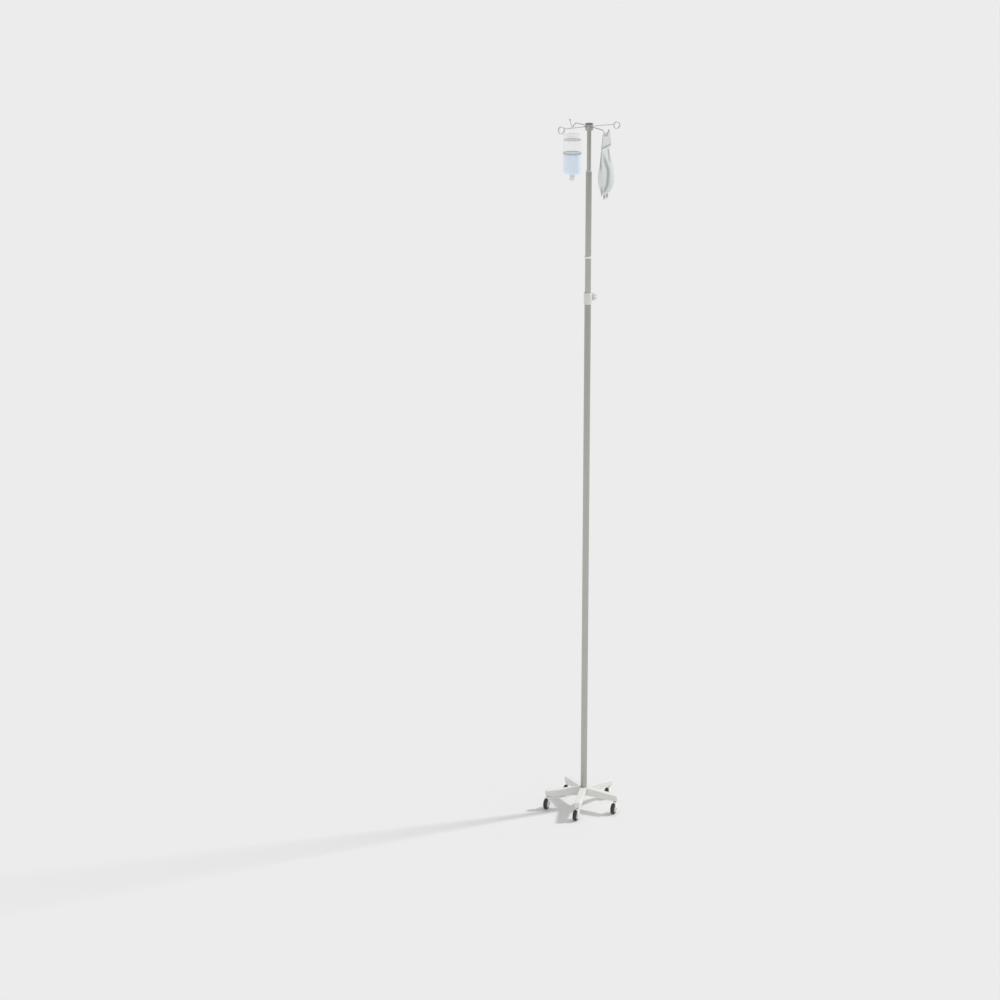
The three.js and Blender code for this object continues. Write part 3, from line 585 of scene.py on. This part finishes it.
# %% Five castors
castor_pieces = [(arm, "fork", moulded_nylon, "white_plastic", "swivel"),
                 (axle, "axle", bright_stainless, "bright_steel", "swivel"),
                 (wheel, "wheel", moulded_nylon, "white_plastic", "roll"),
                 (tyre, "tyre", tread_rubber, "black_rubber", "roll")]
for number in range(LEGS):
    angle = leg_angle(number)
    swivel = Vector((SWIVEL_RADIUS * math.cos(angle), SWIVEL_RADIUS * math.sin(angle), 0)) * MM
    station = Matrix.Translation(swivel) @ Matrix.Rotation(math.radians(TRAIL_ANGLE), 4, "Z")
    for piece, part, material, slot, body in castor_pieces:
        copy = piece.copy()
        copy.data = piece.data.copy()
        copy.name = f"{piece.name}_{number + 1}"
        scene.collection.objects.link(copy)
        placed(copy, station)
        finished(copy, material, f"castor_{number + 1}_{body}", slot, f"castor_{number + 1}_{part}")
for piece, *_ in castor_pieces:
    bpy.data.objects.remove(piece)

# %% [markdown]
# ## Tubes, collar and knob
# The tubes are thin sleeves with slightly broken edges. The collar is a moulded ring with a boss for the
# clamp screw, and the knob is a disc with five scallops cut from its rim on a short neck.

# %% Tubes
for name, node, inner, outer, body in (
        ("lower_pole", "lower_tube", 9.4, 10, "base"), ("middle_pole", "middle_tube", 8.4, 9.1, "middle"),
        ("upper_pole", "upper_tube", 5.5, 6.5, "upper")):
    low, high = mm_box(node)
    pole = tube(name, inner, outer, low.z, high.z, 128)
    rounded(pole, 0.15)
    finished(pole, satin_stainless, body, "satin_steel", node)

# %% Clamp collar
collar_low, collar_high = mm_box("clamp_collar")
COLLAR, BORE, MIDDLE_BORE, BOSS, SCREW_HOLE = 12.3, 10.3, 9.4, 5.6, 3.3
GROOVE_DEPTH, LIP_DEPTH = 0.35, 4
KNOB_AXIS = collar_low.z + 22
collar = turned("clamp_collar_moulding", [
    (BORE, collar_low.z), (COLLAR, collar_low.z), (COLLAR, collar_low.z + 5),
    (COLLAR - GROOVE_DEPTH, collar_low.z + 5.2), (COLLAR - GROOVE_DEPTH, collar_low.z + 5.8),
    (COLLAR, collar_low.z + 6), (COLLAR, collar_high.z), (MIDDLE_BORE, collar_high.z),
    (MIDDLE_BORE, collar_high.z - LIP_DEPTH), (BORE, collar_high.z - LIP_DEPTH), (BORE, collar_low.z)], 96)
rounded(collar, 1.1, segments=3, angle=60)
boss = rod("boss", BOSS, BORE + 1, collar_high.x, 64)
placed(boss, along("Y", (0, 0, KNOB_AXIS)))
combined(collar, boss)
hole = rod("screw_hole", SCREW_HOLE, 0, 18, 40)
placed(hole, along("Y", (0, 0, KNOB_AXIS)))
combined(collar, hole, "DIFFERENCE")
finished(collar, moulded_abs, "base", "grey_plastic", "clamp_collar")

# %% Clamp knob
NECK, NECK_ROUND, KNOB_RADIUS, LOBES, SCALLOP, SCALLOP_AT = 2.4, 6.5, 12, 5, 6, 15.4
KNOB_START, KNOB_END = (corner.x for corner in mm_box("clamp_knob"))
knob = rod("clamp_knob_moulding", KNOB_RADIUS, KNOB_START + NECK, KNOB_END, 120)
for lobe in range(LOBES):
    angle = 2 * math.pi / LOBES * (lobe + 0.5)
    scallop = rod("scallop", SCALLOP, KNOB_START, KNOB_END + 2, 48)
    placed(scallop, Matrix.Translation((SCALLOP_AT * MM * math.cos(angle),
                                        SCALLOP_AT * MM * math.sin(angle), 0)))
    combined(knob, scallop, "DIFFERENCE")
rounded(knob, 1.0, segments=3, angle=38)
combined(knob, rod("neck", NECK_ROUND, KNOB_START, KNOB_START + NECK + 1, 64))
combined(knob, rod("bore", SCREW_HOLE, KNOB_START - 1, KNOB_END - 1.4, 40), "DIFFERENCE")
placed(knob, along("Y", (0, 0, KNOB_AXIS)))
finished(knob, moulded_abs, "clamp_knob", "grey_plastic", "clamp_knob")

# %% Stop ring
ring_low, ring_high = mm_box("stop_ring")
stop_ring = tube("stop_ring_moulding", 9.4, 11.75, ring_low.z, ring_high.z)
rounded(stop_ring, 0.8, segments=3)
finished(stop_ring, moulded_nylon, "middle", "white_plastic", "stop_ring")

# %% [markdown]
# ## Head and arms
# The head is a turned steel block with a dark cap. Two arms end in rings and two in hooks. A hook's wire
# runs straight out, dips in a rounded V and rises to a ball tip; it is drawn as a curve and then meshed.

# %% Head and cap
head_low, head_high = mm_box("hook_head")
cap_low, cap_high = mm_box("head_cap")
HEAD_RADIUS, WIRE = 12, 1.5
ARM_HEIGHT = cap_high.z - 9
head = rod("hook_head_block", HEAD_RADIUS, head_low.z, head_high.z, 96)
rounded(head, 0.8, segments=3)
combined(head, rod("tube_socket", 6.8, head_low.z - 2, ARM_HEIGHT - 3.4), "DIFFERENCE")
combined(head, rod("peg_socket", 3.1, head_high.z - 3.7, head_high.z + 2), "DIFFERENCE")
screw_hole = rod("grub_hole", 2.3, 0, 14, 32)
placed(screw_hole, Matrix.Rotation(math.radians(45), 4, "Z") @ along("Y", (0, 0, ARM_HEIGHT - 8)))
combined(head, screw_hole, "DIFFERENCE")
DROOP = Matrix.Rotation(math.radians(0.6), 4, "Y")


def on_arm(angle):
    """The matrix from an arm made along +X at the origin to its place on the head."""
    return Matrix.Translation((0, 0, ARM_HEIGHT * MM)) @ Matrix.Rotation(math.radians(angle), 4, "Z") @ DROOP


for angle in (0, 90, 180, 270):
    hole = rod("arm_hole", WIRE + 0.3, 3.3, 14, 32)
    placed(hole, on_arm(angle) @ along("Y"))
    combined(head, hole, "DIFFERENCE")
finished(head, turned_steel, "upper", "satin_steel", "hook_head")

cap = turned("head_cap_moulding", [(2.8, cap_low.z), (2.8, head_high.z + 0.3), (12, head_high.z + 0.3),
                                   (12, cap_high.z - 0.6), (11.7, cap_high.z - 0.2), (11.2, cap_high.z)], 96)
finished(cap, dark_moulding, "upper", "dark_cap", "head_cap")

# %% Ring arms
RING_REACH, RING_RADIUS, RING_DROP = 97, 10.3, 3.5
for angle, label in ((0, "right"), (180, "left")):
    bpy.ops.mesh.primitive_torus_add(major_radius=RING_RADIUS * MM, minor_radius=WIRE * MM, major_segments=72,
                                     minor_segments=24, location=(0, 0, 0))
    ring = bpy.context.object
    ring.name = f"ring_arm_wire_{label}"
    placed(ring, along("X", (RING_REACH, 0, -RING_DROP)))
    meet = RING_REACH - math.sqrt(RING_RADIUS ** 2 - RING_DROP ** 2)
    straight = rod("straight", WIRE, 3.6, meet, 24)
    placed(straight, along("Y"))
    combined(ring, straight)
    placed(ring, on_arm(angle))
    finished(ring, bright_stainless, "upper", "bright_steel", f"ring_arm_{label}")

# %% Hook arms
STRAIGHT, RUN, DROP, LIP, RISE, BEND = 79, 21, 13.9, 13, 19, 4.5


def bend(start, corner, end, steps=10):
    """Points of a soft bend from start to end around a corner."""
    points = []
    for step in range(steps + 1):
        t = step / steps
        points.append(start * (1 - t) ** 2 + corner * 2 * t * (1 - t) + end * t ** 2)
    return points


knee = Vector((STRAIGHT, 0, 0))
bottom = Vector((STRAIGHT + RUN, 0, -DROP))
tip = Vector((STRAIGHT + RUN + LIP, 0, RISE - DROP))
down, up = (bottom - knee).normalized(), (tip - bottom).normalized()
low_point = bottom + Vector((0, 0, -BEND / 2))
wire_points = [Vector((3.6, 0, 0))]
wire_points += bend(knee - Vector((BEND, 0, 0)), knee, knee + down * BEND)
wire_points += bend(low_point - down * BEND, low_point, low_point + up * BEND)
wire_points += [tip]
for angle, label in ((90, "back"), (270, "front")):
    path = bpy.data.curves.new(f"hook_path_{label}", "CURVE")
    path.dimensions = "3D"
    path.bevel_depth = WIRE * MM
    path.bevel_resolution = 5
    path.use_fill_caps = True
    spline = path.splines.new("POLY")
    spline.points.add(len(wire_points) - 1)
    for point, place in zip(spline.points, wire_points):
        point.co = (*(place * MM), 1)
    hook = bpy.data.objects.new(f"hook_arm_wire_{label}", path)
    scene.collection.objects.link(hook)
    use_only(hook)
    bpy.ops.object.convert(target="MESH")
    hook = bpy.context.object
    bpy.ops.mesh.primitive_uv_sphere_add(segments=32, ring_count=20, radius=3 * MM, location=tip * MM)
    ball = bpy.context.object
    bpy.ops.object.transform_apply(location=True, rotation=True, scale=True)
    combined(hook, ball)
    placed(hook, on_arm(angle))
    finished(hook, bright_stainless, "upper", "bright_steel", f"hook_arm_{label}")

# %% [markdown]
# ## Bottle
# The bottle hangs upside down: its base is up and holds the bail in a recess, and its neck points down
# with a stopper and a port. The shell is one turned wall, inside and out, and the liquid fills the lower
# part just inside it.

# %% Bottle shell and liquid
shell_low, shell_high = mm_box("bottle_shell")
liquid_low, liquid_high = mm_box("bottle_liquid")
BOTTLE, WALL, NECK_RADIUS = 28.4, 1.2, 8.5
RIM_TOP, NECK_BOTTOM = shell_high.z, shell_low.z
RECESS_FLOOR, BODY_BOTTOM, NECK_TOP = RIM_TOP - 18, RIM_TOP - 112, RIM_TOP - 126


def quarter(start, end, steps=12):
    """A quarter of an ellipse between two [radius, height] points, leaving the first one upright."""
    turns = [step / steps * math.pi / 2 for step in range(steps + 1)]
    return [(end[0] + (start[0] - end[0]) * math.cos(t), start[1] + (end[1] - start[1]) * math.sin(t))
            for t in turns]


inside = quarter((BOTTLE - WALL, BODY_BOTTOM), (NECK_RADIUS - WALL, NECK_TOP + WALL))
shell = turned("bottle_blown_shell", [
    (NECK_RADIUS - WALL, NECK_BOTTOM), (NECK_RADIUS, NECK_BOTTOM),
    *reversed(quarter((BOTTLE, BODY_BOTTOM), (NECK_RADIUS, NECK_TOP))),
    *quarter((BOTTLE, RIM_TOP - 8), (BOTTLE - 3, RIM_TOP)),
    (BOTTLE - 3 - WALL, RIM_TOP), (BOTTLE - 3 - WALL, RECESS_FLOOR + WALL), (0.5, RECESS_FLOOR + WALL),
    (0.5, RECESS_FLOOR), (BOTTLE - WALL, RECESS_FLOOR), *inside, (NECK_RADIUS - WALL, NECK_BOTTOM)], 96)
bottle_place = Matrix.Translation((0, (shell_low.y + shell_high.y) / 2 * MM, 0))
placed(shell, bottle_place)
finished(shell, blown_plastic, "bottle", "clear_plastic", "bottle_shell")

liquid = turned("bottle_liquid_fill", [
    (NECK_RADIUS - WALL - 0.3, liquid_low.z),
    *reversed([(radius - 0.3, height + 0.3) for radius, height in inside]),
    (BOTTLE - WALL - 0.3, liquid_high.z)], 96)
placed(liquid, bottle_place)
finished(liquid, pale_liquid, "bottle", "blue_liquid", "bottle_liquid")

# %% Bail, stopper and port
bail_low, bail_high = mm_box("bottle_bail")
bail_y = (bail_low.y + bail_high.y) / 2
arch = bail_high.z - 6.5
bail = block("bottle_bail_strap", (-6.5, bail_low.y, bail_low.z), (6.5, bail_high.y, arch))
outer_arch = placed(rod("outer_arch", 6.5, -1.1, 1.1, 64), along("X", (0, bail_y, arch)))
combined(bail, outer_arch)
combined(bail, block("window", (-4.9, bail_y - 5, bail_low.z + 1.6), (4.9, bail_y + 5, arch)), "DIFFERENCE")
inner_arch = placed(rod("inner_arch", 4.9, -5, 5, 64), along("X", (0, bail_y, arch)))
combined(bail, inner_arch, "DIFFERENCE")
rounded(bail, 0.35, segments=2, angle=50)
finished(bail, clear_moulding, "bottle", "clear_plastic", "bottle_bail")

stop_low, stop_high = mm_box("bottle_stopper")
stopper = turned("bottle_stopper_rubber", [(8.5, stop_low.z), (8.5, stop_low.z + 2), (7, stop_low.z + 2),
                                           (7, stop_high.z)], 72)
rounded(stopper, 0.4)
placed(stopper, bottle_place)
finished(stopper, stopper_rubber, "bottle", "violet_rubber", "bottle_stopper")

port_low, port_high = mm_box("bottle_port")
port = turned("bottle_port_moulding", [(4.25, port_low.z), (5.1, port_low.z + 4.5), (8.5, port_low.z + 4.5),
                                       (8.5, port_high.z)], 72)
rounded(port, 0.5)
placed(port, bottle_place)
finished(port, clear_moulding, "bottle", "clear_plastic", "bottle_port")

# %% [markdown]
# ## Soft bag
# The bag is a pouch of film: a flat flap with a hanging hole, a seal line under it, and a filled belly
# that narrows again to the sealed bottom. It is lofted ring by ring from the bottom up, flattened to a
# lens section with sealed side seams, and then creased by the folds that gather between its seams.

# %% Bag pouch
BAG_TURN = math.radians(39.5)
FLAP, LENGTH, FULL_DROP, FILM = 41, 186, 136, 1.6
bag_low, bag_high = mm_box("bag_pouch")
BAG_TOP, SEAT = bag_high.z, -(bag_low.y + bag_high.y) / 2
FLAP_TOP, FLAP_FOOT, FULL_WIDTH, FOOT_WIDTH, FULL_DEPTH = 62, 82, 98, 76, 42


def ease(value, start, end):
    """A smooth step from 0 to 1 between two values."""
    t = min(max((value - start) / (end - start), 0), 1)
    return t * t * (3 - 2 * t)


def bag_size(drop):
    """Half width and half thickness of the bag at a drop below its top edge, in mm."""
    fullness = min(max((drop - FLAP) / (LENGTH - FLAP), 0), 1)
    belly = max(math.sin(math.pi * fullness ** 1.6), 0) ** 0.65
    width = FLAP_TOP + (FLAP_FOOT - FLAP_TOP) * ease(drop, 0, FLAP)
    width += (FULL_WIDTH - width) * ease(drop, FLAP, FULL_DROP)
    if drop > FULL_DROP:
        closing = math.sqrt(max(1 - ease(drop, FULL_DROP, LENGTH) ** 1.5, 0))
        width = FOOT_WIDTH + (width - FOOT_WIDTH) * closing
    return width / 2, (FILM + (FULL_DEPTH - FILM) * belly) / 2


RINGS, AROUND = 72, 96
bpy.ops.mesh.primitive_circle_add(vertices=AROUND, radius=MM, fill_type="NOTHING", location=(0, 0, 0))
bag = bpy.context.object
bag.name = "bag_film_pouch"
bpy.ops.object.mode_set(mode="EDIT")
bpy.ops.mesh.select_mode(type="EDGE")
bpy.ops.mesh.select_all(action="SELECT")
drops = [LENGTH * (1 - step / RINGS) for step in range(RINGS + 1)]
wide, thick = bag_size(drops[0])
bpy.ops.transform.resize(value=(wide, thick, 1), center_override=(0, 0, 0))
bpy.ops.transform.translate(value=(0, 0, (BAG_TOP - drops[0]) * MM))
for drop in drops[1:]:
    bpy.ops.mesh.extrude_edges_indiv()
    next_wide, next_thick = bag_size(drop)
    bpy.ops.transform.translate(value=(0, 0, LENGTH / RINGS * MM))
    bpy.ops.transform.resize(value=(next_wide / wide, next_thick / thick, 1), center_override=(0, 0, 0))
    wide, thick = next_wide, next_thick
bpy.ops.mesh.select_all(action="SELECT")
bpy.ops.mesh.fill_holes(sides=0)
bpy.ops.object.mode_set(mode="OBJECT")


# %% Bag folds
def crease(across, drop, places, width):
    """How deep a point lies in a crease along a line of (across, drop) places, from 0 to 1."""
    point, nearest, share = Vector((across, drop)), 1e9, 0
    for number, (start, end) in enumerate(zip(places, places[1:])):
        run = Vector(end) - Vector(start)
        part = min(max((point - Vector(start)).dot(run) / run.length_squared, 0), 1)
        distance = (point - Vector(start) - run * part).length
        if distance < nearest:
            nearest, share = distance, (number + part) / (len(places) - 1)
    return math.exp(-(nearest / width) ** 2) * ease(share, 0, 0.25) * (1 - ease(share, 0.8, 1))


# Each crease: its line from the top down, its width in mm and how much painted shade it lays on the film.
FRONT_FOLDS = [
    (((-39, 46), (-31, 68), (-27, 94), (-25, 107), (-29, 133), (-31, 155), (-34, 173), (-36, 184)), 7.0, 0.6),
    (((13, 44), (7, 58), (-2, 74), (-10, 92)), 4.0, 0.5),
    (((38, 58), (27, 92), (30, 134), (22, 166)), 4.0, 0.22)]
BACK_FOLDS = [
    (((28, 44), (13, 78), (10, 116), (-5, 152), (-12, 176)), 6.0, 0.3),
    (((-34, 50), (-25, 84), (-31, 128), (-26, 168)), 5.0, 0.25),
    (((-10, 44), (-4, 62), (-8, 88)), 4.0, 0.22),
    (((40, 96), (33, 130), (35, 164)), 4.0, 0.2)]
FRONT_FULLNESS, FOLD_DEPTH, PLEAT_DEPTH, SWAY = 1.12, 2.6, 0.7, 2.5
SEAM_SHADE, PLEAT_SHADE, FRONT_SHADE, SEAL_SHADE, FLAP_SHADE = 0.7, 0.16, 0.18, 0.85, 0.3
# The attribute holds painted shade for the film, together with its darker seal line and flap.
seal_flap_and_painted_shade = bag.data.attributes.new("seal_flap_and_painted_shade", "FLOAT", "POINT")
shades = []
for vertex in bag.data.vertices:
    drop = BAG_TOP - vertex.co.z / MM
    wide, thick = bag_size(drop)
    across = vertex.co.x / MM
    side = math.copysign(1, vertex.co.y) if abs(vertex.co.y) > 1e-7 else 0
    front = side < 0
    reach = min(abs(across) / wide, 1)
    lens = max(1 - reach ** 2.1, 0) ** 0.85
    bulge = 0.45 + (thick - 0.45) * lens * (FRONT_FULLNESS if front else 1.0)
    folds = [(crease(across, drop, places, width), dark)
             for places, width, dark in (FRONT_FOLDS if front else BACK_FOLDS)]
    depth = max(deep for deep, _ in folds)
    filled = ease(drop, FLAP, FLAP + 12) * (1 - ease(drop, LENGTH - 10, LENGTH))
    # Short pleats gather under the seal line and fade out downwards.
    pleats = 0.5 + 0.5 * math.cos(across / 2.6 + 3 * math.sin(across / 11))
    pleats *= ease(drop, FLAP + 2, FLAP + 8) * (1 - ease(drop, FLAP + 10, FLAP + 34))
    sway = SWAY * math.sin((drop - FLAP) / (LENGTH - FLAP) * 2 * math.pi) * reach ** 3 * filled
    flank = bulge - FOLD_DEPTH * depth * lens * filled - PLEAT_DEPTH * pleats * lens
    vertex.co.y = (side * flank + sway) * MM
    # Painted shade darkens the film in folds and pleats, along the side seams and on the front flank;
    # the seal line and the flat flap are darker too.
    # Painted shade along the side seams, strong near the top and bottom and fading over the middle.
    edge_painted_shade = math.exp(-((reach - 0.98) / 0.025) ** 2) * (1 - ease(drop, 92, 118) + ease(drop, 150, 172))
    shade = max(deep * dark for deep, dark in folds) * filled + SEAM_SHADE * edge_painted_shade + PLEAT_SHADE * pleats
    # Painted shade on the front flank, which faces away from the sun.
    if front:
        shade += FRONT_SHADE * (1 - ease(reach, 0.2, 0.8)) * filled
    shade += SEAL_SHADE * math.exp(-((drop - FLAP - 1.5) / 2.4) ** 2)
    shades.append(min(shade + FLAP_SHADE * (1 - ease(drop, FLAP - 2, FLAP + 2)), 1))
seal_flap_and_painted_shade.data.foreach_set("value", shades)

hole = rod("hanging_hole", 5.5, -6, 6, 48)
placed(hole, along("X", (0, 0, BAG_TOP - 8 - 5.5)))
combined(bag, hole, "DIFFERENCE")
bag_place = Matrix.Translation((0, -SEAT * MM, 0)) @ Matrix.Rotation(BAG_TURN, 4, "Z")
placed(bag, bag_place)
finished(bag, bag_film, "bag", "bag_film", "bag_pouch")
bpy.ops.object.shade_smooth_by_angle(angle=math.radians(60))

# %% Bag ports and caps
for label, side in (("left", -12), ("right", 12)):
    port_low, port_high = mm_box(f"bag_port_{label}")
    cap_low, cap_high = mm_box(f"bag_cap_{label}")
    port_place = bag_place @ Matrix.Translation((side * MM, 0, 0))
    port = turned(f"bag_port_tube_{label}", [
        (3.4, port_low.z), (3.4, port_high.z - 2), (3.15, port_high.z - 1), (3.4, port_high.z)], 48)
    rounded(port, 0.3)
    placed(port, port_place)
    finished(port, port_tubing, "bag", "bag_film", f"bag_port_{label}")
    cap = turned(f"bag_cap_moulding_{label}", [
        (3.6, cap_low.z), (4.4, cap_low.z + 0.9), (4.4, cap_high.z)], 48)
    rounded(cap, 0.4)
    placed(cap, port_place)
    finished(cap, moulded_nylon, "bag", "white_plastic", f"bag_cap_{label}")

# %% [markdown]
# ## Pieces that stay as they are
# The hidden bushes, plugs, bolts and screws keep their CAD shape and only get their finish.

# %% Finishes for the kept pieces
slot_finish = {"bright_steel": bright_stainless, "satin_steel": satin_stainless, "grey_plastic": moulded_abs,
               "white_plastic": moulded_nylon}
replaced = {name for piece in bpy.data.objects for name in piece.get("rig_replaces", [])}
for part in frame["record"]["subparts"]:
    if part["node"] not in replaced:
        node = frame["nodes"][part["node"]]
        node.data.materials.clear()
        node.data.materials.append(slot_finish[part["material_slot"]])
        print("kept:", part["node"])
